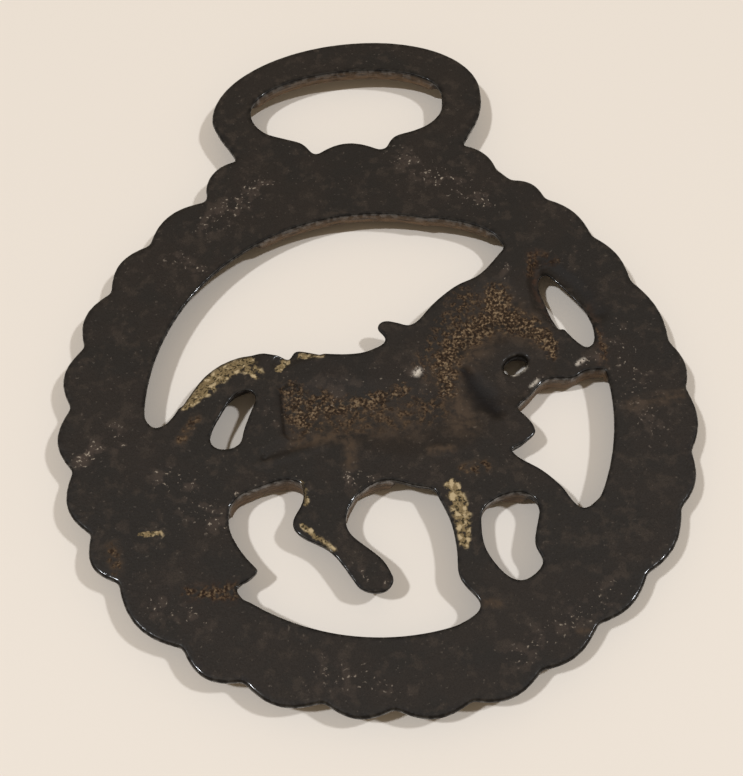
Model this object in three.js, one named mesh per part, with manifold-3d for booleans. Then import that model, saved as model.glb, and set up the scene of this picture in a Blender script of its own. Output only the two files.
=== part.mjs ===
// Horse brass: a harness ornament cast in one piece, lying on its face with its flat back up.
// A scalloped ring carries a strap loop above it and frames a walking horse, which faces +X.
// Millimetres, +Z up, +Y from the ring towards the loop. Outlines are drawn about the ring's centre
// and moved at the end, so that the origin is below the middle of the whole brass.
import * as THREE from 'three';
import { mergeVertices } from 'three/addons/utils/BufferGeometryUtils.js';
import Module from 'manifold-3d';

const wasm = await Module();
wasm.setup();

// Heights above the surface that the brass lies on: the relief's rubbed tops are at 0.
const FRONT = 2.0; // front face of the ring and the loop
const BACK = 4.2; // flat back face

// The ring and its scalloped rim
const RIM_RADIUS = 39.2; // at the notches
const SCALLOPS = 28;
const SCALLOP_RISE = { mean: 1.25, leftMore: 0.35 }; // crest over notch
const SCALLOP_FACETS = 7;
const OUT_OF_ROUND = [ // where the rim swells or is flattened: degrees, degrees, mm
  { at: 92, spread: 14, swell: 0.8 },
  { at: 22, spread: 22, swell: -1.3 },
  { at: 256, spread: 16, swell: -0.7 },
  { at: 304, spread: 14, swell: -0.9 },
];
const LOOP_SHOULDER = 38; // degrees from the top, past which the notches are slipped
const SLIP = 2; // degrees
const OUT_OF_STEP = { 10: -2.5, 11: 1, 13: 1, 19: 1.5, 22: -2.5, 26: -2.5 }; // degrees, by notch
const WINDOW = { x: -0.4, y: -1, radius: 29.6 }; // the ring's inner circle

// The strap loop and its slot: the crowns are half ellipses
const LOOP_CROWN = { x: 0.7, y: 48.3, width: 19.85, height: 11.9, turn: 4 };
const LOOP_FEET = [{ x: -15.7, y: 34.9, radius: 4.9 }, { x: 15.2, y: 33.8, radius: 5.3 }];
const SLOT_CROWN = { x: 0.6, y: 48.5, width: 14.1, height: 6.2, turn: 1.5 };

// The pierced eye, turned up towards the poll
const EYE = { x: 17.8, y: 2.9, width: 1.9, height: 1.15, turn: 32 };

const FACET = 1; // longest straight step along a curve
const BALL_STEPS = 5;
const ROUND_STEPS = 20;

// Outlines of the horse, each a run of points along one edge of its body, from end to end
const POCKET_BEHIND_TAIL = [[-29.8, 2.4], [-29.8, 0.4], [-28.6, -1.1], [-26.9, -0.4], [-24.8, 2.6]];
const TAIL_TOP = [[-24.8, 2.6], [-22.4, 5.7], [-19.5, 7.7], [-15.8, 8.4], [-11.8, 7.4]];
const CROUP_NICK = [[-11.8, 7.4], [-11.2, 6.9], [-10.5, 8.1]];
const SPINE = [[-10.5, 8.1], [-9.4, 8.1], [-6.5, 7.2], [-1.6, 6.8], [1.2, 7.7]];
const MANE_TUFT = [[1.2, 7.7], [1.7, 8.7], [0.6, 10.2], [1.4, 11.2], [3.2, 10.8], [4.7, 10.1]];
const NECK_CREST = [[4.7, 10.1], [5.7, 10.4], [8.6, 13.2], [12, 15.6], [15.2, 16.9], [19.4, 20.9]];
const POLL_CORNER = [[19.4, 20.9], [18.6, 22.9], [16.6, 24.6], [13.5, 26], [10, 27]];

const HEEL_CORNER = [[5.4, -30], [7.4, -29.1], [8.4, -28.2], [8.2, -27.1]];
const FORELEG_BACK = [[8.2, -27.1], [6.4, -24.4], [6.6, -21], [6.4, -17.5], [5, -13]];
const BELLY = [[5, -13], [2.5, -12.3], [0, -11.3], [-2.2, -11.5], [-4.6, -12.9]];
const THIGH_FRONT = [[-4.6, -12.9], [-6, -15.2], [-6, -17.2], [-2.2, -21.4], [-1.2, -23.8]];
const HIND_HOOF = [[-1.2, -23.8], [-2, -25], [-3.8, -25.2], [-5.4, -24.5]];
const HOCK_BACK = [[-5.4, -24.5], [-8.4, -19.5], [-12, -17], [-12.6, -15.6], [-11, -12.8], [-10.9, -10.6]];
const HAUNCH_UNDERSIDE = [[-10.9, -10.6], [-12.5, -9.8], [-16, -10.4], [-19, -11.5], [-20, -12.8]];
const FAR_LEG_FRONT = [[-20, -12.8], [-20.1, -15.4], [-18.6, -18.8], [-16.9, -21]];
const FAR_HOOF = [[-16.9, -21], [-18.2, -22], [-19.8, -22.7], [-18.8, -24.5]];

const JAW = [[16.8, -3.3], [18.8, -1.8], [20.2, -0.4], [21.6, 0.4], [23.4, 0.1]];
const LIP = [[23.4, 0.1], [25, 0.1], [26.4, 0.9], [28.9, 0.9]];
const KNEE_CORNER = [[24.9, -16.2], [23.4, -17.4], [22.4, -17.6], [21.4, -16.4], [20.6, -14.6]];
const FOREARM_TOP = [[20.6, -14.6], [18.6, -12.2], [15.6, -9.8], [15.1, -8.9]];
const BREAST = [[15.1, -8.9], [17, -8.2], [18.7, -7]];
const THROAT = [[18.7, -7], [18.4, -5.6], [16.8, -3.3]];

const NOSE_GAP = [
  [23.8, 16.5], [25.2, 15], [27, 12.3], [28.6, 9], [28.6, 5.2],
  [27.6, 4.1], [26.3, 5.2], [24.2, 9], [23.4, 12.5], [23.1, 15],
];
const FORELEG_GAP = [
  [15, -14.6], [12.6, -15], [10.5, -16.3], [9.9, -18.9], [10.1, -21.6], [12.4, -25.2],
  [14, -25.6], [16.6, -23.6], [15.9, -21.5], [16.6, -19], [17.3, -16.8], [16.6, -15.2],
];
const TAIL_GAP = [
  [-16.6, 3], [-18.2, 2.7], [-19.8, 0.7], [-21.9, -3.7], [-20.6, -4.9],
  [-18.2, -4.5], [-17.6, -2.6], [-16.4, 0.2], [-15.7, 1.9],
];
const SLOT_FLOOR = [
  [-13.5, 48.1], [-13.2, 46.4], [-11.6, 44.3], [-8.7, 42.9], [-6.4, 41.8], [-4.8, 39.5], [0, 37],
  [4.8, 39], [6.7, 41.6], [9.7, 42.4], [12.3, 43.5], [14.2, 45.6], [14.7, 48.9],
];
const LOOP_LEFT_SIDE = [[-19.1, 46.9], [-18.2, 44.4], [-16.4, 40.8], [-15, 36]];
const LOOP_RIGHT_SIDE = [[15, 36], [16.8, 39.6], [19.3, 43.6], [20.3, 46.6], [20.5, 49.7]];

// The horse's relief: flatness (depth over girth), then joints as x, y and half the girth
const MUSCLES = [
  [0.21, [-7, -1.5, 10.5], [6, -3, 10.5]], // barrel
  [0.3, [-13, 0, 7.2], [-10, -7, 7]], // haunch
  [0.27, [8, -1, 8], [10, -7, 6.6]], // shoulder
  [0.4, [14, -6, 4.6], [17.8, -6.8, 2.4]], // breast
  [0.25, [9, 4, 8.6], [18, 13.5, 6.4]], // neck
  [0.3, [16, 3, 7], [19, 11, 5]], // cheek and brow
  [0.32, [17, 4, 6.5], [26, 2.6, 3.6]], // muzzle
  [0.6, [20, 17, 2.6], [20.8, 21.5, 1.2]], // ear
  [0.45, [-13, 5, 3.3], [-19.5, 4.6, 3.3], [-24, -1, 3.2], [-25.4, -8, 2.2]], // tail
  [0.5, [-15, -4, 5.5], [-21.5, -10, 3.8], [-22, -16, 2.6], [-19.3, -21.3, 2.4]], // far hind leg
  [0.5, [-8, -8, 5.5], [-9.3, -15, 3.7], [-6, -19.8, 2.7], [-3.4, -23.2, 2.6]], // near hind leg
  [0.6, [8, -8, 5], [8.2, -16, 2.5], [8.2, -22, 2.3], [9.6, -27.6, 2.8]], // standing foreleg
  [0.55, [12, -8, 5], [18.8, -14.6, 3.4], [19.4, -18, 2.5], [18.6, -23, 2.5]], // raised foreleg
];

// The hollows behind the relief, listed in the same way, and the boss that is left in the head
const HOLLOW_DEPTH = 0.9;
const HOLLOWS = [
  [0.3, [-8.2, -0.9, 4.6], [3, -3.2, 5.2], [9, -2, 6]], // barrel and shoulder
  [0.5, [-14.8, -6.5, 0.9], [-8, -4.4, 1.6]], // flank
  [0.3, [9, 2, 6], [16.5, 9, 5]], // neck
  [0.3, [9, 2, 6.2], [17.2, 4, 6.3]], // head
];
const CHEEK_BOSS = [0.28, [15.8, 1.8, 5.6], [17.4, 3, 5.4]];
const BOSS_SINK = 1.5; // centre of the boss below the back face

const radians = THREE.MathUtils.degToRad;

/** Points at even steps along a smooth open curve through the given ones. */
function smooth(points) {
  const curve = new THREE.CatmullRomCurve3(points.map(([x, y]) => new THREE.Vector3(x, y, 0)));
  return curve.getSpacedPoints(Math.ceil(curve.getLength() / FACET));
}

/** Points along a smooth closed curve through the given ones. */
function smoothRing(points) {
  const through = points.map(([x, y]) => new THREE.Vector3(x, y, 0));
  const curve = new THREE.CatmullRomCurve3(through, true);
  return curve.getSpacedPoints(Math.ceil(curve.getLength() / FACET));
}

/** Points along an arc of an ellipse, in degrees; it runs clockwise where `to` is below `from`. */
function arc(x, y, width, height, from, to, turn = 0) {
  const clockwise = to < from;
  const curve = new THREE.EllipseCurve(
    x, y, width, height, radians(from), radians(to), clockwise, radians(turn),
  );
  return curve.getSpacedPoints(Math.ceil(curve.getLength() / FACET));
}

/** The stretch of the ring's inner circle between two points near it. */
function windowArc([x0, y0], [x1, y1]) {
  const angle = (x, y) => THREE.MathUtils.radToDeg(Math.atan2(y - WINDOW.y, x - WINDOW.x));
  return arc(WINDOW.x, WINDOW.y, WINDOW.radius, WINDOW.radius, angle(x0, y0), angle(x1, y1));
}

/** One closed outline from stretches laid end to end, without the points that they share. */
function outline(...stretches) {
  const points = stretches.flat().map(({ x, y }) => new THREE.Vector2(x, y));
  const apart = points.filter((p, i) => p.distanceTo(points.at(i - 1)) > FACET / 10);
  return new THREE.Shape(apart);
}

/** A closed three.js geometry as a manifold solid. */
function solid(geometry) {
  geometry.deleteAttribute('normal');
  geometry.deleteAttribute('uv');
  const merged = mergeVertices(geometry, 1e-4);
  const index = merged.index.array;
  const triangles = [];
  for (let i = 0; i < index.length; i += 3) {
    const [a, b, c] = index.slice(i, i + 3);
    if (a !== b && b !== c && c !== a) triangles.push(a, b, c);
  }
  return new wasm.Manifold(new wasm.Mesh({
    numProp: 3,
    vertProperties: new Float32Array(merged.attributes.position.array),
    triVerts: new Uint32Array(triangles),
  }));
}

/** An outline as a straight-sided slab between two heights. */
function slab(shape, low, high) {
  const geometry = new THREE.ExtrudeGeometry(shape, { depth: high - low, bevelEnabled: false });
  return solid(geometry.translate(0, 0, low));
}

/** Where a notch of the rim lies, in degrees from +X; notches 0 and 1 are either side of the top. */
function notchAngle(number) {
  const fromTop = (number - 0.5) * (360 / SCALLOPS);
  const underLoop = Math.min(Math.abs(fromTop), Math.abs(360 - fromTop)) < LOOP_SHOULDER;
  return 90 + fromTop + (underLoop ? 0 : SLIP) + (OUT_OF_STEP[number % SCALLOPS] ?? 0);
}

/** The rim's radius at the foot of the scallops: round, apart from its swells and flats. */
function notchRadius(angle) {
  let radius = RIM_RADIUS;
  for (const { at, spread, swell } of OUT_OF_ROUND) {
    const away = THREE.MathUtils.euclideanModulo(angle - at + 180, 360) - 180;
    radius += swell * Math.exp(-((away / spread) ** 2));
  }
  return radius;
}

/** The scalloped rim: each scallop rises as half a sine wave between its two notches. */
function rim() {
  const points = [];
  for (let number = 0; number < SCALLOPS; number++) {
    const start = notchAngle(number);
    const end = notchAngle(number + 1);
    for (let step = 0; step < SCALLOP_FACETS; step++) {
      const along = step / SCALLOP_FACETS;
      const angle = THREE.MathUtils.lerp(start, end, along);
      const rise = SCALLOP_RISE.mean - SCALLOP_RISE.leftMore * Math.cos(radians(angle));
      const radius = notchRadius(angle) + rise * Math.sin(Math.PI * along);
      points.push({ x: radius * Math.cos(radians(angle)), y: radius * Math.sin(radians(angle)) });
    }
  }
  return outline(points);
}

/** The strap loop with its two feet, pierced by the slot. */
function loop() {
  const crown = ({ x, y, width, height, turn }) => arc(x, y, width, height, 0, 180, turn);
  const sides = [LOOP_LEFT_SIDE, LOOP_RIGHT_SIDE].map(smooth);
  let body = slab(outline(crown(LOOP_CROWN), ...sides), FRONT, BACK);
  for (const foot of LOOP_FEET) {
    const lobe = outline(arc(foot.x, foot.y, foot.radius, foot.radius, 0, 360));
    body = body.add(slab(lobe, FRONT, BACK));
  }
  return body.subtract(slab(outline(crown(SLOT_CROWN), smooth(SLOT_FLOOR)), 0, 2 * BACK));
}

/** The windows that leave the horse standing in the ring. */
function windows() {
  const back = [POCKET_BEHIND_TAIL, TAIL_TOP, CROUP_NICK, SPINE, MANE_TUFT, NECK_CREST, POLL_CORNER];
  const legs = [
    FAR_HOOF.toReversed(), FAR_LEG_FRONT.toReversed(), HAUNCH_UNDERSIDE.toReversed(),
    HOCK_BACK.toReversed(), HIND_HOOF.toReversed(), THIGH_FRONT.toReversed(), BELLY.toReversed(),
    FORELEG_BACK.toReversed(), HEEL_CORNER.toReversed(),
  ];
  const above = outline(...back.map(smooth), windowArc(POLL_CORNER.at(-1), POCKET_BEHIND_TAIL[0]));
  const below = outline(...legs.map(smooth), windowArc(HEEL_CORNER[0], FAR_HOOF.at(-1)));
  const ahead = outline(
    ...[JAW, LIP].map(smooth), windowArc(LIP.at(-1), KNEE_CORNER[0]),
    ...[KNEE_CORNER, FOREARM_TOP, BREAST, THROAT].map(smooth),
  );
  const gaps = [NOSE_GAP, FORELEG_GAP, TAIL_GAP].map((points) => outline(smoothRing(points)));
  const eye = outline(arc(EYE.x, EYE.y, EYE.width, EYE.height, 0, 360, EYE.turn));
  return [above, below, ahead, ...gaps, eye].map((shape) => slab(shape, -BACK, 2 * BACK));
}

/** A taper between two balls, flattened upright, with its middle plane at the given height. */
function muscle([x0, y0, girth0], [x1, y1, girth1], flatness, height) {
  const length = Math.hypot(x1 - x0, y1 - y0);
  const lean = Math.asin((girth0 - girth1) / length);
  const profile = [];
  const ball = (girth, along, from, to) => {
    for (let step = 0; step <= BALL_STEPS; step++) {
      const angle = THREE.MathUtils.lerp(from, to, step / BALL_STEPS);
      const across = Math.abs(girth * Math.cos(angle));
      profile.push(new THREE.Vector2(across, along + girth * Math.sin(angle)));
    }
  };
  ball(girth0, 0, -Math.PI / 2, lean);
  ball(girth1, length, lean, Math.PI / 2);
  profile[0].x = 0;
  profile.at(-1).x = 0;
  const body = new THREE.LatheGeometry(profile, ROUND_STEPS);
  body.scale(1, 1, flatness).rotateZ(Math.atan2(y1 - y0, x1 - x0) - Math.PI / 2);
  return solid(body.translate(x0, y0, height));
}

/** All the muscles along a chain of joints, as one solid. */
function limb([flatness, ...joints], height) {
  const bones = joints.slice(1).map((joint, i) => muscle(joints[i], joint, flatness, height));
  return bones.reduce((whole, bone) => whole.add(bone));
}

/** Several limbs as one solid. */
function joined(chains, height) {
  return chains.map((chain) => limb(chain, height)).reduce((whole, part) => whole.add(part));
}

/** Everything between two heights. */
function layer(low, high) {
  const reach = 4 * RIM_RADIUS;
  const box = new THREE.BoxGeometry(reach, reach, high - low);
  return solid(box.translate(0, 0, (low + high) / 2));
}

/** The casting: ring, loop and relief between the two faces, hollowed behind and pierced. */
function casting() {
  const relief = joined(MUSCLES, FRONT).intersect(layer(0, BACK));
  const hollow = joined(HOLLOWS, BACK).intersect(layer(BACK - HOLLOW_DEPTH, 2 * BACK));
  const boss = limb(CHEEK_BOSS, BACK - BOSS_SINK);
  let body = slab(rim(), FRONT, BACK).add(loop()).add(relief);
  body = body.subtract(hollow.subtract(boss));
  for (const window of windows()) body = body.subtract(window);
  return body;
}

/** A manifold solid as a three.js geometry with flat faces. */
function geometryOf(body) {
  const mesh = body.getMesh();
  const geometry = new THREE.BufferGeometry();
  geometry.setAttribute('position', new THREE.BufferAttribute(new Float32Array(mesh.vertProperties), 3));
  geometry.setIndex(new THREE.BufferAttribute(new Uint32Array(mesh.triVerts), 1));
  geometry.computeVertexNormals();
  geometry.computeBoundingBox();
  return geometry;
}

const darkBrass = new THREE.MeshStandardMaterial({ color: 0x37302a, roughness: 0.5, metalness: 0.85 });
const brass = new THREE.Mesh(geometryOf(casting()), darkBrass);
brass.name = 'horse_brass';
const middle = brass.geometry.boundingBox.getCenter(new THREE.Vector3());
brass.position.set(-middle.x, -middle.y, 0);

const group = new THREE.Group();
group.add(brass);

export default group;
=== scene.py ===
"""Horse brass: a harness ornament of dark cast brass, lying on its face on a pale table.

The casting is one closed surface. Its outline is the solid's own, rounded off, and its two faces are
heights worked out over that outline: the flat back with the hollows behind the horse, and the front
with the horse's relief. Sizes are in millimetres about the ring's centre, as in the solid, +Y towards
the strap loop, and go into the mesh in metres. Crusts, stains, pale flecks, painted highlights, painted
shade in the recesses and along the edges, and painted light from the table on the upright sides are
kept as values on the mesh, which the finish reads.
"""
import math

import bmesh
import bpy
import numpy as np
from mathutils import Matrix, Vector
from mathutils.geometry import delaunay_2d_cdt


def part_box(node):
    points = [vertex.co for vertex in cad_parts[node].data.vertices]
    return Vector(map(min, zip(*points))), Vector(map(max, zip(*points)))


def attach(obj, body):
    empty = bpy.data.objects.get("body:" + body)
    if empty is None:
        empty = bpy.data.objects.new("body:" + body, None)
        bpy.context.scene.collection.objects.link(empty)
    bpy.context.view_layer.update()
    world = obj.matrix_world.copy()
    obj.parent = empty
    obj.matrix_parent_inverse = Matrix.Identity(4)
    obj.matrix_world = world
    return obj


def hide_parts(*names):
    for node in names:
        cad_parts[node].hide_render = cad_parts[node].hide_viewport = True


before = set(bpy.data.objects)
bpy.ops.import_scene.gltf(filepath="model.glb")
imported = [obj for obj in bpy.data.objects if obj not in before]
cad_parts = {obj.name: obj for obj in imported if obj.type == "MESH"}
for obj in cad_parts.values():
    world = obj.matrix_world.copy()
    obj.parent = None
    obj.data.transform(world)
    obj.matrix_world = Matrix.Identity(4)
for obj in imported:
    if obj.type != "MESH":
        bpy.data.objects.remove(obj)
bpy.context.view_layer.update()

MM = 0.001
NODE = "horse_brass"
LOW, HIGH = (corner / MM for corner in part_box(NODE))

# The solid's driving sizes
BACK = HIGH.z  # flat back face; the relief's rubbed tops are at 0
FRONT = BACK - 2.2  # front face of the ring and the loop
RING = Vector((LOW.x + 40.75, LOW.y + 40.11))  # the ring's centre, in from its outermost crests
WINDOW = (-0.4, -1.0, 29.6)  # x, y and radius of the ring's inner circle

# The mesh
STEP = 0.3  # along the outlines
EASING = 3  # rounds that take the facets out of them
WELD = 1e-4  # points of the solid closer than this are one
HORSE_GRAIN = 0.28  # between points on the horse
RING_GRAIN = 0.5  # between points on the ring and the loop
ROUND_STEPS = 4  # rows round an edge
WALL_ROWS = 4
ROW_SHARE = 0.93  # a row keeps the points that are at least this share of its inset from every outline
LATTICE_GAP = 0.6  # between the rows and the lattices, in steps of the lattice
SAME_PLACE = 1e-7  # points of the plan closer than this are one
REACH = 3.0  # how far in from an outline distances are measured
CELL = 6.0  # side of the cells that they are worked out in
BATCH = 2000  # points tested at once
WHOLE_HULL = 0  # the kind of triangulation that fills in to the convex hull

# Radius of the edges behind: the rim is well rubbed, the windows are crisp and the eye is soft
BACK_EDGE = {"rim": 0.42, "window": 0.2, "eye": 0.6}
# How far in the front's round sides reach; they take the whole thickness but for an upright lip
FRONT_EDGE = {"rim": 1.4, "window": 1.3, "upright": 0.2, "slanted": 2.2}
LIP = 0.12
WINDOW_SLOPE = 0.4  # the share of a window's side that is a straight slope, not a curve
THINNEST = 0.7  # metal left between a hollow behind and the front

# The cast skin
BACK_SKIN = 0.09  # its mean depth inside the solid's back
FRONT_SKIN = 0.06  # its mean depth inside the solid's front
RUBBED = 0.05  # what is rubbed off the tops of the relief, which are smooth for twice as far down
TOP_GAP = 0.005  # between the highest grains and the solid's back
PAINTED_EDGE_SHADE = {"rim": 0.7, "window": 0.45}  # how far in the painted shade reaches: a dark line where the rounded edge turns from the light

# Horse: flatness (depth over girth), then joints as x, y and half the girth
MUSCLES = [
    (0.21, (-7, -1.5, 10.5), (6, -3, 10.5)),  # barrel
    (0.3, (-13, 0, 7.2), (-10, -7, 7)),  # haunch
    (0.27, (8, -1, 8), (10, -7, 6.6)),  # shoulder
    (0.4, (14, -6, 4.6), (17.8, -6.8, 2.4)),  # breast
    (0.25, (9, 4, 8.6), (18, 13.5, 6.4)),  # neck
    (0.3, (16, 3, 7), (19, 11, 5)),  # cheek and brow
    (0.32, (17, 4, 6.5), (26, 2.6, 3.6)),  # muzzle
    (0.6, (20, 17, 2.6), (20.8, 21.5, 1.2)),  # ear
    (0.45, (-13, 5, 3.3), (-19.5, 4.6, 3.3), (-24, -1, 3.2), (-25.4, -8, 2.2)),  # tail
    (0.5, (-15, -4, 5.5), (-21.5, -10, 3.8), (-22, -16, 2.6), (-19.3, -21.3, 2.4)),  # far hind leg
    (0.5, (-8, -8, 5.5), (-9.3, -15, 3.7), (-6, -19.8, 2.7), (-3.4, -23.2, 2.6)),  # near hind leg
    (0.6, (8, -8, 5), (8.2, -16, 2.5), (8.2, -22, 2.3), (9.6, -27.6, 2.8)),  # standing foreleg
    (0.55, (12, -8, 5), (18.8, -14.6, 3.4), (19.4, -18, 2.5), (18.6, -23, 2.5)),  # raised foreleg
]
# Sides that stand upright instead, and sides that slant right away: strength, then x, y and reach
UPRIGHT = [
    (1.0, (-12, 26.5, 3), (-8, 27.5, 4), (6, 28.5, 4), (16, 25.5, 4)),  # top of the upper window
    (1.0, (-12, 52.5, 3), (0, 54.7, 3), (13, 53, 3)),  # top of the strap slot
    (1.0, (-19.5, -11.5, 2.5), (-11.5, -9.5, 2.5)),  # under the haunch
    (1.0, (-5.5, -14, 2.5), (-1.5, -11.5, 2.5)),  # front of the thigh
    (1.0, (17, -3, 2.5), (21, 0, 2.5), (28.5, 1, 2.5)),  # jaw and lip
    (1.0, (10.5, -16, 2.5), (14.5, -14.5, 2.5)),  # behind the knee
]
SLANTED = [
    (1.0, (21, 19, 4), (25, 16.5, 4), (28.5, 12, 3.5)),  # gap before the nose
    (1.0, (-20.5, -1, 2.5), (-16, 2.5, 2.5)),  # gap inside the tail
]
EYE = [(16.5, 2, 3), (19, 2.5, 3)]

# Hollows behind the horse: depth, how much of the width slopes, and joints as x, y and half width
HOLLOWS = [
    (0.6, 0.8, (-8.0, -0.9, 5.2), (3, -3.2, 5.8), (9, -2, 6.4)),  # barrel and shoulder
    (0.6, 0.3, (-11.2, -3.2, 1.7), (-11.2, 1.8, 1.7)),  # steep end of the barrel
    (0.35, 0.9, (-14.8, -6.2, 1.2), (-8, -4.2, 2.2)),  # flank
    (0.6, 0.8, (9, 2, 6.0), (15.5, 8.4, 6.2), (17.0, 12.0, 4.6)),  # neck
    (0.5, 0.6, (9, 2, 5.4), (17.2, 4, 7.2)),  # head
    (0.5, 0.7, (-12.3, 6.5, 1.3), (-10.8, 7.3, 1.3), (-7.4, 7.7, 1.1)),  # ledge on the croup
    (0.8, 1.0, (-25, 2.4, 1.4), (-22.4, 5.4, 2.2), (-19.5, 7.3, 2.5), (-16.3, 8.1, 2.2)),  # top of the tail
    (1.3, 1.0, (23.4, 17.2, 1.8), (22.8, 15, 1.8), (23.2, 11.5, 2.2), (24.6, 8.2, 1.2)),  # brow
    (0.6, 1.0, (24.6, 17.4, 1.4), (28, 12.8, 2.0), (29.6, 9, 1.6)),  # ring beside the gap
]
CHEEK_BOSS = (0.25, 0.4, (15.9, 2.4, 5.8), (17.8, 2.8, 5.2))
CRESCENT = (0.55, 1.0, (11.2, 3.0, 0.9), (11.9, 0.8, 2.0), (13.1, -1.6, 2.5), (14.3, -3.4, 1.7))
RIDGES = [
    (0.16, 1.0, (-15.8, -7.4, 0.8), (-8, -5.6, 1.1)),  # line along the flank
    (0.1, 1.0, (-4.4, -4.4, 0.8), (-4.8, -8.8, 1.0)),  # run of metal on the thigh
    (0.2, 1.0, (5.9, -8, 1.2), (7.2, -8, 1.1)),  # lump behind the elbow
]
PIT = (-15.3, -6.6, 0.5)  # x, y and radius
PIT_DEPTH = 0.35

# Stains, painted highlights and painted shade on the back: strength, then joints as x, y and half width
CRUST = [  # rust-brown crumbs
    (1.0, (17, 13.6, 2.8), (16.8, 10.6, 3.8), (20.6, 8, 2.5), (22.8, 5.2, 1.6), (22.6, 3.4, 0.9)),
    (0.9, (15.5, 9.8, 3.2), (11.2, 7.4, 3.1), (8.8, 4.2, 2.5), (8.6, 0.5, 2.0)),
    (0.4, (13, 13, 4.0), (7, 4, 4.0)),
    (0.7, (-11.2, 2.4, 2.4), (-10.0, -1.5, 3.6), (-7.5, 0.2, 3.0)),
    (0.65, (-6, -0.5, 2.2), (0, 0, 1.8), (3, 1, 1.4)),
    (0.3, (-10, -2, 4.4), (6, -2, 4.4)),
    (0.6, (-25.5, -22.8, 1.0), (-20.0, -23.2, 1.7)),
    (0.4, (22.0, 16.6, 1.2), (23.0, 19.2, 1.4), (25.8, 18, 1.2)),
    (0.4, (8.8, -11.1, 1.3), (11.6, -10.8, 1.3)),
    (0.4, (28.6, 8, 0.8), (29.6, 4, 0.9), (29, 1.8, 1.0)),
    (0.4, (-34, -16.2, 1.2), (-33.6, -19, 1.2)),
    (0.4, (-25.4, -3.1, 1.1), (-23.4, -0.2, 1.1)),
]
GOLD = [  # thick pale crust, with bare yellow metal
    (1.0, (-24.6, 1.6, 0.9), (-22.6, 3.9, 2.0), (-19.8, 6.4, 2.2), (-17, 7.4, 1.8)),
    (0.4, (-17, 7, 2.0), (-15.4, 5.2, 1.4)),
    (0.9, (-12.7, 5.3, 0.6), (-11.7, 6.7, 0.9)),
    (0.6, (-9.8, 7.4, 0.8), (-6.8, 7.2, 0.8)),
    (0.7, (7.2, -13.0, 1.3), (7.8, -16.5, 1.6), (7.6, -20.4, 0.9)),
    (0.6, (-11.3, -16.0, 0.5), (-8, -19.6, 0.6)),
    (0.6, (-10.9, -10.6, 0.6), (-10.7, -13.2, 0.6)),
    (0.8, (-30.6, -15, 0.35), (-28, -15.2, 0.3)),
]
DUST = [  # soft brown film
    (0.8, (9.4, 0, 2.6), (9.8, -4.5, 3.6)),
    (0.9, (-11.5, -5.2, 1.4), (-7, -4.4, 1.8), (-4.6, -5, 1.4), (-4.8, -8.6, 1.5)),
    (0.9, (5.4, -8, 1.2), (7.8, -8, 1.1)),
    (0.6, (-10, -2, 4.4), (3, -3.4, 4.4)),
    (1.0, (21, 7, 3.0), (17, 11.5, 4.6), (9, 3, 4.2)),
    (0.9, (-25.4, -3.1, 1.1), (-23.4, -0.2, 1.1)),
    (0.7, (-34, -16.2, 1.4), (-33.6, -19, 1.4)),
    (0.8, (8.6, -27.6, 1.0), (10.4, -28.1, 0.8)),
    (0.8, (19, -32.3, 0.6), (20.6, -32.4, 0.5)),
    (0.6, (31.5, -4.6, 1.8), (38, -4, 1.6)),
    (0.5, (8.7, -11.1, 1.4), (11.8, -10.7, 1.6)),
]
RUST = [  # reddish bloom
    (0.5, (-25, -22.8, 1.6), (-20.3, -23.2, 2.2)),
    (0.8, (22.2, 16.6, 1.4), (23.2, 19.2, 1.5), (25.6, 18, 1.1)),
    (1.0, (22.9, 16, 1.4), (23.3, 12.5, 1.4), (24.6, 8.5, 0.9)),
    (0.5, (28.8, 10.5, 1.0), (29.3, 5, 1.4), (29, 1.8, 1.4)),
]
PALE_FLECKS_AND_SPARKLES = [  # scattered pale crumbs, and painted sparkle highlights along the jaw, the lip and under the haunch
    (1.0, (4.6, 3, 1.2), (5.6, 3.7, 1.2)),
    (1.0, (18.4, -0.9, 0.8), (20.6, 0.5, 0.8)),
    (1.0, (25.5, 1.8, 0.9), (28.4, 2.5, 1.0)),
    (0.6, (18.7, 16.4, 1.6), (19, 18.2, 1.6)),
    (0.9, (-38, -4.6, 1.8), (-36, -3.2, 2.0)),
    (0.7, (-33.7, -0.6, 1.4), (-33, -3, 1.8)),
    (0.6, (-27.8, -7.8, 2.4), (-24.5, -8.9, 2.6)),
    (0.6, (-20.6, 29.2, 3.0), (-16.4, 32.4, 3.4)),
    (0.6, (-14.4, 33.8, 3.0), (-12.8, 34.8, 2.6)),
    (0.6, (6.8, 38.2, 3.0), (10, 35.6, 4.0), (18, 29, 3.0)),
    (0.5, (-24, -12, 3.2), (-21, -14.8, 2.6)),
    (0.8, (-3, -11.2, 1.6), (-5.4, -10.6, 1.4)),
    (0.6, (-6.3, -22, 1.0), (-2.6, -24, 1.2)),
    (0.5, (-29, -24, 2.6), (-24, -26, 2.2)),
    (0.4, (-25.5, 24.5, 2.4), (-22, 22, 2.6)),
    (0.6, (-19, -11.2, 1.2), (-11.5, -9.4, 0.9)),
    (0.25, (-12, 0, 5.5), (8, 2, 5.0)),
    (0.35, (12, -34, 3.0), (24, -28, 3.0)),
    (0.3, (32, 6, 4.0), (33, -8, 4.0)),
    (0.3, (-10, -34, 4.0), (-2, -36, 3.0)),
]
PAINTED_HIGHLIGHTS = [  # painted highlights: bright spots at the eye's lower rim, the jaw and the lip, and a bright speck on the shoulder
    (1.0, (17.3, 1.5, 0.45), (18.9, 2.4, 0.5)),
    (1.0, (4.9, 3.0, 0.7), (5.3, 3.4, 0.7)),
    (0.8, (25.6, 1.9, 0.4), (26.6, 2.5, 0.4)),
    (0.7, (19.2, -0.5, 0.35), (20.2, 0.3, 0.35)),
]
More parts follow.
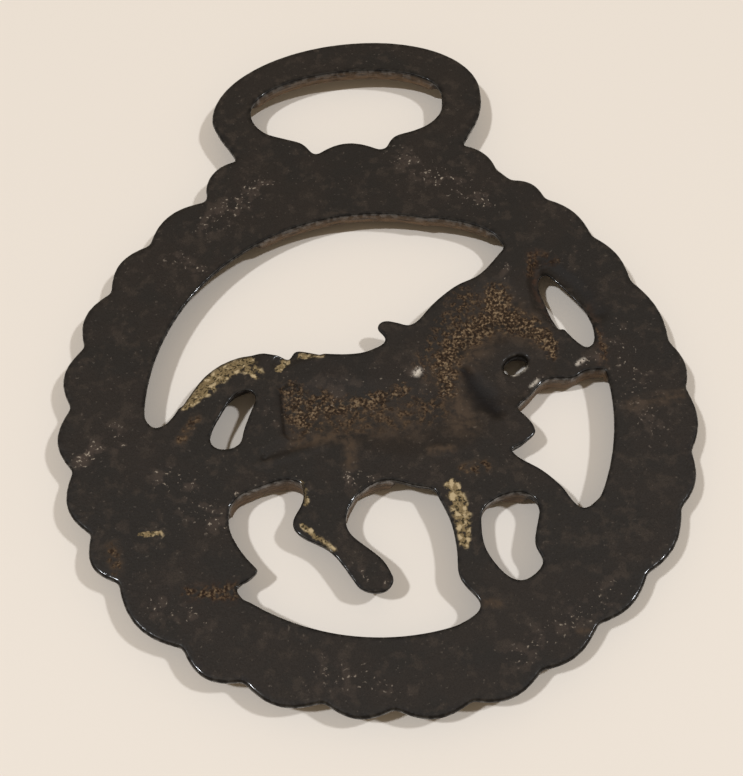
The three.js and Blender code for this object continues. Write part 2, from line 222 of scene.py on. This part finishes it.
PAINTED_RECESS_SHADE = [  # painted shade in the recesses: beside the cheek, at the end of the barrel, on the slope beside the nose gap and round the cheek
    (1.0, *CRESCENT[2:]),
    (0.5, (-12.8, 2.8, 0.7), (-12.7, -3.4, 0.7)),
    (0.45, (24.8, 18.2, 1.6), (28.6, 13.6, 2.0), (30.6, 9, 1.6)),
    (0.4, (10.4, 5, 1.0), (13.4, 8.3, 1.0), (17, 9.2, 1.0), (20.8, 7, 0.9)),
]


# ---------------------------------------------------------------- shapes over the plan


def smoothstep(low, high, value):
    """0 below low, 1 above high, and a smooth S between them."""
    part = np.clip((value - low) / (high - low), 0, 1)
    return part * part * (3 - 2 * part)


def taper(x, y, start, end):
    """How far each point is from a tapering bone, and the bone's half girth where it is nearest.

    The nearest place is the foot of the perpendicular, held between the two joints.
    """
    (x0, y0, girth0), (x1, y1, girth1) = start, end
    run, rise = x1 - x0, y1 - y0
    along = np.clip(((x - x0) * run + (y - y0) * rise) / (run**2 + rise**2), 0, 1)
    away = np.hypot(x - x0 - along * run, y - y0 - along * rise)
    return away, girth0 + along * (girth1 - girth0)


def swell(x, y, limbs):
    """Height of the fullest limb: flatness times the half chord, sqrt(girth^2 - distance^2)."""
    height = np.zeros_like(x)
    for flatness, *joints in limbs:
        for start, end in zip(joints, joints[1:]):
            away, girth = taper(x, y, start, end)
            height = np.maximum(height, flatness * np.sqrt(np.maximum(girth**2 - away**2, 0)))
    return height


def patch(x, y, joints, soft=1.0):
    """1 along a chain of joints, falling to 0 at its half width over the soft part of it."""
    mask = np.zeros_like(x)
    for start, end in zip(joints, joints[1:]):
        away, girth = taper(x, y, start, end)
        mask = np.maximum(mask, 1 - smoothstep(1 - soft, 1, away / girth))
    return mask


def strongest(x, y, chains):
    """The strongest of several soft patches, each a strength and its joints."""
    return np.max([strength * patch(x, y, joints) for strength, *joints in chains], axis=0)


def blended(x, y, forms):
    """Height of several forms run together, (h1^4 + h2^4 + ...)^(1/4).

    Each is a height, how much of the width slopes, and its joints.
    """
    return sum((height * patch(x, y, joints, soft)) ** 4 for height, soft, *joints in forms) ** 0.25


def grain(x, y, size, seed):
    """Smooth noise between -1 and 1: a random lattice of that mesh, blended with an S curve."""
    count = 64
    lattice = np.random.default_rng(seed).uniform(-1, 1, (count, count))
    column, row = np.floor(x / size).astype(int), np.floor(y / size).astype(int)
    across, up = smoothstep(0, 1, x / size - column), smoothstep(0, 1, y / size - row)

    def corner(i, j):
        return lattice[(column + i) % count, (row + j) % count]

    below = corner(0, 0) * (1 - across) + corner(1, 0) * across
    above = corner(0, 1) * (1 - across) + corner(1, 1) * across
    return below * (1 - up) + above * up


def rough(x, y, size, seed, octaves=3):
    """Several sizes of noise, each half the size and 0.6 of the strength of the one before.

    Their sum is divided by 1.6, which keeps nearly all of it between -1 and 1.
    """
    layers = [0.6**i * grain(x + 7.3 * i, y - 4.1 * i, size / 2**i, seed + i) for i in range(octaves)]
    return sum(layers) / 1.6


# ---------------------------------------------------------------- the outline of the solid


def section(node, height):
    """The closed outlines where a level plane cuts a solid, as lists of x, y in millimetres.

    The cut edges are kept in the order that the cut gives, so each outline starts at the same point
    every time.
    """
    cut = bmesh.new()
    cut.from_mesh(node.data)
    bmesh.ops.remove_doubles(cut, verts=cut.verts, dist=MM * WELD)
    everything = cut.verts[:] + cut.edges[:] + cut.faces[:]
    plane = {"plane_co": (0, 0, height * MM), "plane_no": (0, 0, 1)}
    sliced = bmesh.ops.bisect_plane(cut, geom=everything, **plane)["geom_cut"]
    edges = dict.fromkeys(item for item in sliced if isinstance(item, bmesh.types.BMEdge))
    loops = []
    while edges:
        edge, _ = edges.popitem()
        first, vert = edge.verts
        loop = [first]
        while vert is not first:
            loop.append(vert)
            edge = next(other for other in vert.link_edges if other in edges)
            del edges[edge]
            vert = edge.other_vert(vert)
        loops.append(np.array([vert.co.xy / MM - RING for vert in loop]))
    cut.free()
    return loops


def even(loop, step):
    """A closed line at even steps."""
    closed = np.vstack([loop, loop[:1]])
    along = np.concatenate([[0], np.cumsum(np.hypot(*np.diff(closed, axis=0).T))])
    stations = np.linspace(0, along[-1], round(along[-1] / step), endpoint=False)
    return np.stack([np.interp(stations, along, closed[:, axis]) for axis in (0, 1)], axis=1)


def eased(loop, rounds):
    """A closed line with each point moved to (before + 2 itself + after) / 4, several times."""
    for _ in range(rounds):
        loop = (np.roll(loop, 1, axis=0) + 2 * loop + np.roll(loop, -1, axis=0)) / 4
    return loop


def area(loop):
    """Area inside a closed line, positive where it runs anticlockwise."""
    x, y = loop.T
    return 0.5 * np.sum(x * np.roll(y, -1) - np.roll(x, -1) * y)


def outlines():
    """The solid's outlines with their facets eased: the rim runs anticlockwise, the windows clockwise."""
    loops = section(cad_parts[NODE], BACK - 0.5 * (BACK - FRONT))
    loops = [eased(even(loop, STEP), EASING) for loop in loops]
    loops.sort(key=lambda loop: -abs(area(loop)))
    return [loop if (area(loop) > 0) == (i == 0) else loop[::-1] for i, loop in enumerate(loops)]


def inward(loop):
    """Unit vectors across a closed line, towards the metal."""
    run = np.roll(loop, -1, axis=0) - np.roll(loop, 1, axis=0)
    return np.stack([-run[:, 1], run[:, 0]], axis=1) / np.hypot(*run.T)[:, None]


def inside(points, loops):
    """Whether each point is on the metal: a level ray from it crosses the outlines an odd number of times."""
    x0, y0 = np.vstack(loops).T[:, None].astype(np.float32)
    x1, y1 = np.vstack([np.roll(loop, -1, axis=0) for loop in loops]).T[:, None].astype(np.float32)
    slope = (x1 - x0) / np.where(y1 == y0, 1, y1 - y0)
    result = []
    for batch in np.array_split(points.astype(np.float32), len(points) // BATCH + 1):
        x, y = batch.T[..., None]
        crossed = ((y0 > y) != (y1 > y)) & (x < x0 + slope * (y - y0))
        result.append(crossed.sum(axis=1) % 2 == 1)
    return np.concatenate(result)


def depth(points, loops):
    """Distance of each point from the nearest outline, up to REACH, and whether that is the rim.

    Each square cell of the plan is set against the straight steps near it; the distance to a step is
    measured from the foot of the perpendicular, held between the step's two ends.
    """
    start = np.vstack(loops)
    run = np.vstack([np.roll(loop, -1, axis=0) - loop for loop in loops])
    rim_steps = len(loops[0])
    cells = np.floor(points / CELL).astype(int)
    distance = np.full(len(points), REACH)
    by_rim = np.zeros(len(points), dtype=bool)
    for cell in np.unique(cells, axis=0):
        here = (cells == cell).all(axis=1)
        near = ((start > cell * CELL - REACH) & (start < (cell + 1) * CELL + REACH)).all(axis=1)
        if near.any():
            gap = points[here, None] - start[None, near]
            along = np.clip((gap * run[near]).sum(axis=2) / (run[near] ** 2).sum(axis=1), 0, 1)
            away = np.hypot(*np.moveaxis(gap - along[..., None] * run[near], 2, 0))
            distance[here] = np.minimum(away.min(axis=1), REACH)
            by_rim[here] = np.flatnonzero(near)[away.argmin(axis=1)] < rim_steps
    return distance, by_rim


def lattice(step):
    """Points of a triangular lattice over the whole brass."""
    low, high = Vector((LOW.x, LOW.y)) - RING, Vector((HIGH.x, HIGH.y)) - RING
    x, y = np.meshgrid(np.arange(low.x, high.x, step), np.arange(low.y, high.y, step * math.sqrt(0.75)))
    x[1::2] += step / 2
    return np.stack([x.ravel(), y.ravel()], axis=1)


def plan():
    """Points over the metal, the triangles between them, the outlines' points, and the edge distances.

    The outlines come first, then rows that follow them closely, which carry the rounded edges, and
    then two lattices, the finer one inside the ring.
    """
    loops = outlines()
    sides = np.vstack(loops)
    across = np.vstack([inward(loop) for loop in loops])
    radius = np.full((len(sides), 1), BACK_EDGE["window"])
    radius[: len(loops[0])] = BACK_EDGE["rim"]
    rows = []
    for turn in np.linspace(0, math.pi / 2, ROUND_STEPS + 1)[1:]:
        inset = radius * (1 - math.cos(turn))
        row = sides + inset * across
        rows.append(row[inside(row, loops) & (depth(row, loops)[0] > ROW_SHARE * inset[:, 0])])
    for step, wanted in ((HORSE_GRAIN, True), (RING_GRAIN, False)):
        points = lattice(step)
        in_window = np.hypot(points[:, 0] - WINDOW[0], points[:, 1] - WINDOW[1]) < WINDOW[2] + 1
        points = points[in_window == wanted]
        distance, by_rim = depth(points, loops)
        clear = distance > np.where(by_rim, BACK_EDGE["rim"], BACK_EDGE["window"]) + LATTICE_GAP * step
        rows.append(points[clear & inside(points, loops)])
    points = np.vstack([sides, *rows])

    edges, first = [], 0
    for loop in loops:
        here = np.arange(first, first + len(loop))
        edges.append(np.stack([here, np.roll(here, -1)], axis=1))
        first += len(loop)
    _, _, triangles, source, _, _ = delaunay_2d_cdt(
        points.tolist(), np.vstack(edges).tolist(), [], WHOLE_HULL, SAME_PLACE
    )
    triangles = np.array([ids[0] for ids in source])[np.array(triangles)]
    triangles = triangles[inside(points[triangles].mean(axis=1), loops)]
    return points, triangles, [edge[:, 0] for edge in edges], depth(points, loops)


# ---------------------------------------------------------------- the casting


def quarter(distance, radius):
    """A quarter circle across an edge: 1 at the outline, 0 from the radius inwards."""
    left = np.clip(1 - distance / radius, 0, 1)
    return 1 - np.sqrt(1 - left**2)


def back_height(x, y, distance, by_rim):
    """Height of the back: flat, less the hollows behind the horse and the rounding of the edge."""
    hollow = blended(x, y, HOLLOWS)
    boss = patch(x, y, CHEEK_BOSS[2:], CHEEK_BOSS[1])
    hollow = blended(x, y, [CRESCENT]) + hollow * (1 - boss) + CHEEK_BOSS[0] * boss
    pit = PIT_DEPTH * (1 - smoothstep(0.4, 1, np.hypot(x - PIT[0], y - PIT[1]) / PIT[2]))
    crusted = np.maximum(strongest(x, y, CRUST), strongest(x, y, GOLD))
    skin = 0.02 * rough(x, y, size=3, seed=11) + 0.05 * grain(x, y, size=14, seed=12)
    crumb = crusted * 0.14 * rough(x, y, size=1.0, seed=13)
    crumb = crumb + 0.05 * strongest(x, y, DUST) * rough(x, y, size=1.6, seed=17)
    edge = np.where(by_rim, BACK_EDGE["rim"], BACK_EDGE["window"])
    edge = edge + (BACK_EDGE["eye"] - edge) * patch(x, y, EYE, 0.5)
    level = BACK - BACK_SKIN - hollow + blended(x, y, RIDGES) - pit + skin + crumb
    return np.minimum(level, BACK - TOP_GAP) - edge * quarter(distance, edge)


def front_height(x, y, distance, by_rim, back):
    """Height of the front: the ring's level, less the relief, which is rubbed flat at 0.

    Towards the outlines it curves up a quarter ellipse to the lip under the back, or part of it a slope.
    """
    relief = np.minimum(swell(x, y, MUSCLES), FRONT - RUBBED)
    unrubbed = relief < FRONT - 2 * RUBBED
    level = FRONT - relief + FRONT_SKIN + 0.04 * rough(x, y, size=3, seed=21) * unrubbed
    level = np.minimum(level, back - THINNEST)
    upright = smoothstep(0, 0.5, strongest(x, y, UPRIGHT)) * ~by_rim
    slanted = smoothstep(0, 0.5, strongest(x, y, SLANTED)) * ~by_rim
    reach = np.where(by_rim, FRONT_EDGE["rim"], FRONT_EDGE["window"])
    reach = reach + (FRONT_EDGE["slanted"] - reach) * slanted
    reach = reach + (FRONT_EDGE["upright"] - reach) * upright
    rise = (back - LIP - level) * (1 - upright) + reach * upright
    straight = (WINDOW_SLOPE * ~by_rim + (1 - WINDOW_SLOPE) * slanted) * (1 - upright)
    slope = (1 - distance / reach).clip(0)
    return level + rise * (quarter(distance, reach) * (1 - straight) + slope * straight)


def casting():
    """Two faces over one plan, joined by walls that run down round every outline."""
    points, triangles, loops, (distance, by_rim) = plan()
    x, y = points.T
    back = np.stack([x, y, back_height(x, y, distance, by_rim)], axis=1)
    front = np.stack([x, y, front_height(x, y, distance, by_rim, back[:, 2])], axis=1)
    count = len(points)
    verts = [back, front]
    faces = [triangles, triangles[:, ::-1] + count]
    first = 2 * count
    for loop in loops:
        levels = np.linspace(0, 1, WALL_ROWS + 2)[1:-1, None, None]
        rows = back[loop] * (1 - levels) + front[loop] * levels
        ids = np.vstack([loop, first + np.arange(WALL_ROWS * len(loop)).reshape(WALL_ROWS, -1), loop + count])
        after = np.roll(ids, -1, axis=1)
        faces.append(np.stack([ids[:-1], ids[1:], after[1:]], axis=-1).reshape(-1, 3))
        faces.append(np.stack([ids[:-1], after[1:], after[:-1]], axis=-1).reshape(-1, 3))
        verts.append(rows.reshape(-1, 3))
        first += rows.size // 3
    verts, faces = np.vstack(verts), np.vstack(faces)
    mesh = bpy.data.meshes.new("horse_brass_casting")
    mesh.from_pydata(((verts + [RING.x, RING.y, 0]) * MM).tolist(), [], faces.tolist())
    mesh.shade_smooth()
    stain(mesh, verts, count, distance, by_rim)
    piece = bpy.data.objects.new(mesh.name, mesh)
    bpy.context.scene.collection.objects.link(piece)
    return piece


def stain(mesh, verts, count, distance, by_rim):
    """Stores the stains on the mesh: those of the back, with its pale flecks, painted highlights and painted
    shade, the painted light from the table on the upright sides, and the painted shade along the edges and on
    the walls.

    The mesh holds the points of the back, then those of the front, then those of the walls.
    """
    x, y, z = verts.T
    behind = np.zeros(len(verts))
    behind[:count] = 1
    # painted shade: a dark line along the back's edges, and the walls dark all over
    edge = np.zeros(len(verts))
    edge[:count] = 1 - smoothstep(0.15, np.where(by_rim, PAINTED_EDGE_SHADE["rim"], PAINTED_EDGE_SHADE["window"]), distance)
    edge[2 * count :] = 1
    # painted light from the table: paler brown on the walls and on the front near the outlines
    side = np.zeros(len(verts))
    side[2 * count :] = 1
    side[count : 2 * count] = 1 - smoothstep(0.2, 1.2, distance)
    # on the upright sides the painted light grows lower down, towards the table, and the painted edge shade
    # gives way to it
    upright = smoothstep(0, 0.5, strongest(x, y, UPRIGHT))
    below = 1 - smoothstep(FRONT + 0.2, BACK - 0.3, z)
    values = {
        "crust": strongest(x, y, CRUST) * behind,
        "gold": strongest(x, y, GOLD) * behind,
        "dust": strongest(x, y, DUST) * behind,
        "rust": strongest(x, y, RUST) * np.maximum(behind, side),
        "fleck_and_sparkle": strongest(x, y, PALE_FLECKS_AND_SPARKLES) * behind,
        "painted_highlight": strongest(x, y, PAINTED_HIGHLIGHTS) * behind,
        "painted_recess_shade": strongest(x, y, PAINTED_RECESS_SHADE) * behind,
        "edge": edge * (1 - upright * below),
        "side": side * upright * (0.35 + 0.65 * below),
    }
    for name, value in values.items():
        mesh.attributes.new(name, "FLOAT", "POINT").data.foreach_set("value", value.astype(np.float32))


# ---------------------------------------------------------------- the finish


def srgb(red, green, blue):
    """A colour given as it looks on screen, 0 to 255, as linear light."""
    linear = [((c / 255 + 0.055) / 1.055) ** 2.4 if c > 10 else c / 3295 for c in (red, green, blue)]
    return (*linear, 1)


class Wire:
    """A value in a finish: arithmetic on it adds Math nodes."""

    def __init__(self, finish, socket):
        self.finish = finish
        self.socket = socket

    def math(self, operation, *values):
        return self.finish.node("Math", {"operation": operation}, dict(enumerate(values)))

    def __add__(self, other):
        return self.math("ADD", self, other)

    def __sub__(self, other):
        return self.math("SUBTRACT", self, other)

    def __rsub__(self, other):
        return self.math("SUBTRACT", other, self)

    def __mul__(self, other):
        return self.math("MULTIPLY", self, other)

    __radd__ = __add__
    __rmul__ = __mul__


class Finish:
    """A material being built: node() adds any node, with its settings first and then its inputs."""

    def __init__(self, name):
        self.material = bpy.data.materials.new(name)
        self.material.use_nodes = True
        self.tree = self.material.node_tree
        self.shader = self.tree.nodes["Principled BSDF"]

    def node(self, kind, settings, values, output=0):
        made = self.tree.nodes.new("ShaderNode" + kind)
        for name, setting in settings.items():
            setattr(made, name, setting)
        for name, value in values.items():
            self.fill(made.inputs[name], value)
        return Wire(self, made.outputs[output])

    def fill(self, socket, value):
        if isinstance(value, Wire):
            self.tree.links.new(value.socket, socket)
        else:
            socket.default_value = value

    def set(self, **values):
        for name, value in values.items():
            self.fill(self.shader.inputs[name.replace("_", " ")], value)

    def stained(self, name):
        """A value stored on the mesh."""
        return self.node("Attribute", {"attribute_name": name}, {}, output=2)

    def noise(self, size, detail=3.0, stretch=(1, 1, 1)):
        """Noise between 0 and 1 with features of that many millimetres."""
        place = self.node("TexCoord", {}, {}, output=3)
        place = self.node("VectorMath", {"operation": "MULTIPLY"}, {0: place, 1: stretch})
        return self.node("TexNoise", {}, {"Vector": place, "Scale": 1 / (size * MM), "Detail": detail})

    def ramp(self, low, high, value):
        """0 below low, 1 above high, and a smooth S between them."""
        limits = {"Value": value, "From Min": low, "From Max": high}
        return self.node("MapRange", {"interpolation_type": "SMOOTHSTEP"}, limits)

    def mix(self, mask, below, above):
        """One colour laid over another where the mask is 1."""
        return self.node("Mix", {"data_type": "RGBA"}, {"Factor": mask, 6: below, 7: above}, output=2)


def dark_brass():
    """Cast brass under an old brown-black patina, crusted and stained behind the horse, with painted
    highlights, painted shade and painted light from the table.
    """
    finish = Finish("dark_brass")
    cloud, mottle, clump = finish.noise(7), finish.noise(1.6, 5), finish.noise(0.8, 5)
    crumb, grit = finish.noise(0.34, 4), finish.noise(0.15, 2)
    patina = finish.mix(finish.ramp(0.4, 0.6, cloud), srgb(40, 36, 32), srgb(44, 38, 33))
    patina = finish.mix(finish.ramp(0.5, 0.68, mottle) * 0.8, patina, srgb(58, 50, 43))
    patina = finish.mix(finish.ramp(0.45, 0.62, grit) * 0.4, patina, srgb(27, 22, 18))

    dust = finish.stained("dust") * finish.ramp(0.3, 0.6, 0.5 * (mottle + clump))
    colour = finish.mix(dust * 0.8, patina, srgb(82, 67, 53))
    rust = finish.stained("rust") * finish.ramp(0.35, 0.6, clump)
    colour = finish.mix(rust * 0.75, colour, srgb(70, 48, 35))

    # painted highlights, broken up by the crumbs
    painted_highlight = finish.stained("painted_highlight") * finish.ramp(0.35, 0.5, crumb)
    crust = finish.stained("crust")
    strength = finish.ramp(0.0, 0.9, crust)
    crust = finish.ramp(0.5, 0.72, crust * 0.28 + clump) * finish.ramp(0, 0.3, crust)
    tones = finish.mix(finish.ramp(0.42, 0.54, crumb), srgb(36, 24, 14), srgb(82, 64, 46))
    tones = finish.mix(finish.ramp(0.53, 0.64, crumb) * strength, tones, srgb(140, 119, 92))
    colour = finish.mix(crust * 0.85, colour, tones)

    gold = finish.stained("gold")
    gold = finish.ramp(0.5, 0.64, gold * 0.35 + clump) * finish.ramp(0, 0.25, gold)
    tones = finish.mix(finish.ramp(0.4, 0.5, crumb), srgb(58, 50, 32), srgb(130, 112, 80))
    tones = finish.mix(finish.ramp(0.52, 0.64, clump), tones, srgb(186, 166, 130))
    colour = finish.mix(gold, colour, tones)

    # pale crumbs, with painted sparkle highlights where they sit on lit edges
    fleck_and_sparkle = finish.stained("fleck_and_sparkle")
    bloom = finish.ramp(0.5, 0.62, mottle + fleck_and_sparkle * 0.06) * fleck_and_sparkle
    colour = finish.mix(bloom * 0.6, colour, srgb(80, 68, 60))
    spots = finish.noise(0.4, 2) + finish.ramp(0.45, 0.6, mottle) * fleck_and_sparkle * 0.12
    fleck_and_sparkle = finish.ramp(0.66, 0.77, spots) * (0.16 + 0.84 * finish.ramp(0, 0.5, fleck_and_sparkle))
    colour = finish.mix(fleck_and_sparkle, colour, srgb(150, 138, 124))

    # painted shade in the recesses
    colour = finish.mix(finish.stained("painted_recess_shade") * 0.85, colour, srgb(14, 10, 9))
    # painted shade along the edges and on the walls
    colour = finish.mix(finish.stained("edge") * 0.8, colour, srgb(14, 11, 9))
    # painted light from the table on the upright sides, in streaks along the wall
    streaks = finish.noise(0.5, 3, stretch=(0.25, 0.25, 2))
    colour = finish.mix(finish.stained("side") * finish.ramp(0.2, 0.6, streaks), colour, srgb(118, 96, 74))
    # the painted highlights, near white
    colour = finish.mix(painted_highlight, colour, srgb(214, 204, 190))

    loose = finish.node("Clamp", {}, {"Value": crust + gold + rust + dust})
    relief = crumb * 0.5 + grit * 0.2 + mottle * 0.8 + (crust + gold) * crumb * 1.2 + fleck_and_sparkle * 0.6
    bump = finish.node("Bump", {}, {"Strength": 0.7, "Distance": 0.12 * MM, "Height": relief})
    finish.set(
        Base_Color=colour,
        Roughness=0.55 + 0.1 * mottle + 0.25 * loose - 0.15 * finish.stained("edge"),
        Coat_Weight=finish.stained("edge") * finish.ramp(0.42, 0.6, clump) + fleck_and_sparkle * 0.5,
        Normal=bump,
    )
    finish.set(IOR=1.5, Specular_IOR_Level=0.17, Coat_Roughness=0.13)
    return finish.material


# ---------------------------------------------------------------- the studio


def lamp(name, towards, share, colour):
    """A small round lamp far away, which gives the table that share of its light."""
    distance, size = 2.0, 0.13  # in metres
    direction = Vector(towards).normalized()
    light = bpy.data.lights.new(name, "AREA")
    light.shape = "DISK"
    light.size = size
    light.energy = share * (math.pi * distance) ** 2 / direction.z
    light.color = colour
    holder = bpy.data.objects.new(name, light)
    holder.location = direction * distance
    holder.rotation_euler = direction.to_track_quat("Z", "Y").to_euler()
    bpy.context.scene.collection.objects.link(holder)


def studio():
    """Pale table, two lamps and the soft light of the room."""
    half = 1.5  # the table's, in metres
    daylight = (0.95, 0.99, 1.04)
    mesh = bpy.data.meshes.new("table")
    corners = [(-half, -half, 0), (half, -half, 0), (half, half, 0), (-half, half, 0)]
    mesh.from_pydata(corners, [], [(0, 1, 2, 3)])
    table = bpy.data.objects.new("table", mesh)
    bpy.context.scene.collection.objects.link(table)
    top = Finish("pale_table")
    top.set(Base_Color=(0.85, 0.78, 0.7, 1), Roughness=0.6)
    mesh.materials.append(top.material)
    lamp("right_lamp", (0.63, -0.02, 1), 0.32, daylight)
    lamp("left_lamp", (-0.52, -0.06, 1), 0.4, daylight)
    world = bpy.data.worlds.new("room")
    world.use_nodes = True
    glow = world.node_tree.nodes["Background"].inputs
    glow["Color"].default_value = (1, 0.82, 0.6, 1)
    glow["Strength"].default_value = 0.31
    bpy.context.scene.world = world
    bpy.context.scene.view_settings.view_transform = "Standard"


def camera():
    """Looks down at the brass from the foot of the table, a little to the left."""
    azimuth, elevation = math.radians(-6.5), math.radians(62.7)
    distance = 142.5
    level = math.cos(elevation)
    back = Vector((math.sin(azimuth) * level, -math.cos(azimuth) * level, math.sin(elevation)))
    look = Vector((RING.x - 1.06, RING.y + 1.42, BACK)) * MM
    lens = bpy.data.cameras.new("camera")
    lens.sensor_fit = "HORIZONTAL"
    lens.sensor_width = 36
    lens.lens = 54.315
    lens.clip_start = 0.01
    holder = bpy.data.objects.new("camera", lens)
    holder.location = look + back * distance * MM
    holder.rotation_euler = back.to_track_quat("Z", "Y").to_euler()
    bpy.context.scene.collection.objects.link(holder)
    bpy.context.scene.camera = holder


brass = casting()
brass.data.materials.append(dark_brass())
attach(brass, "root")
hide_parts(NODE)
studio()
camera()
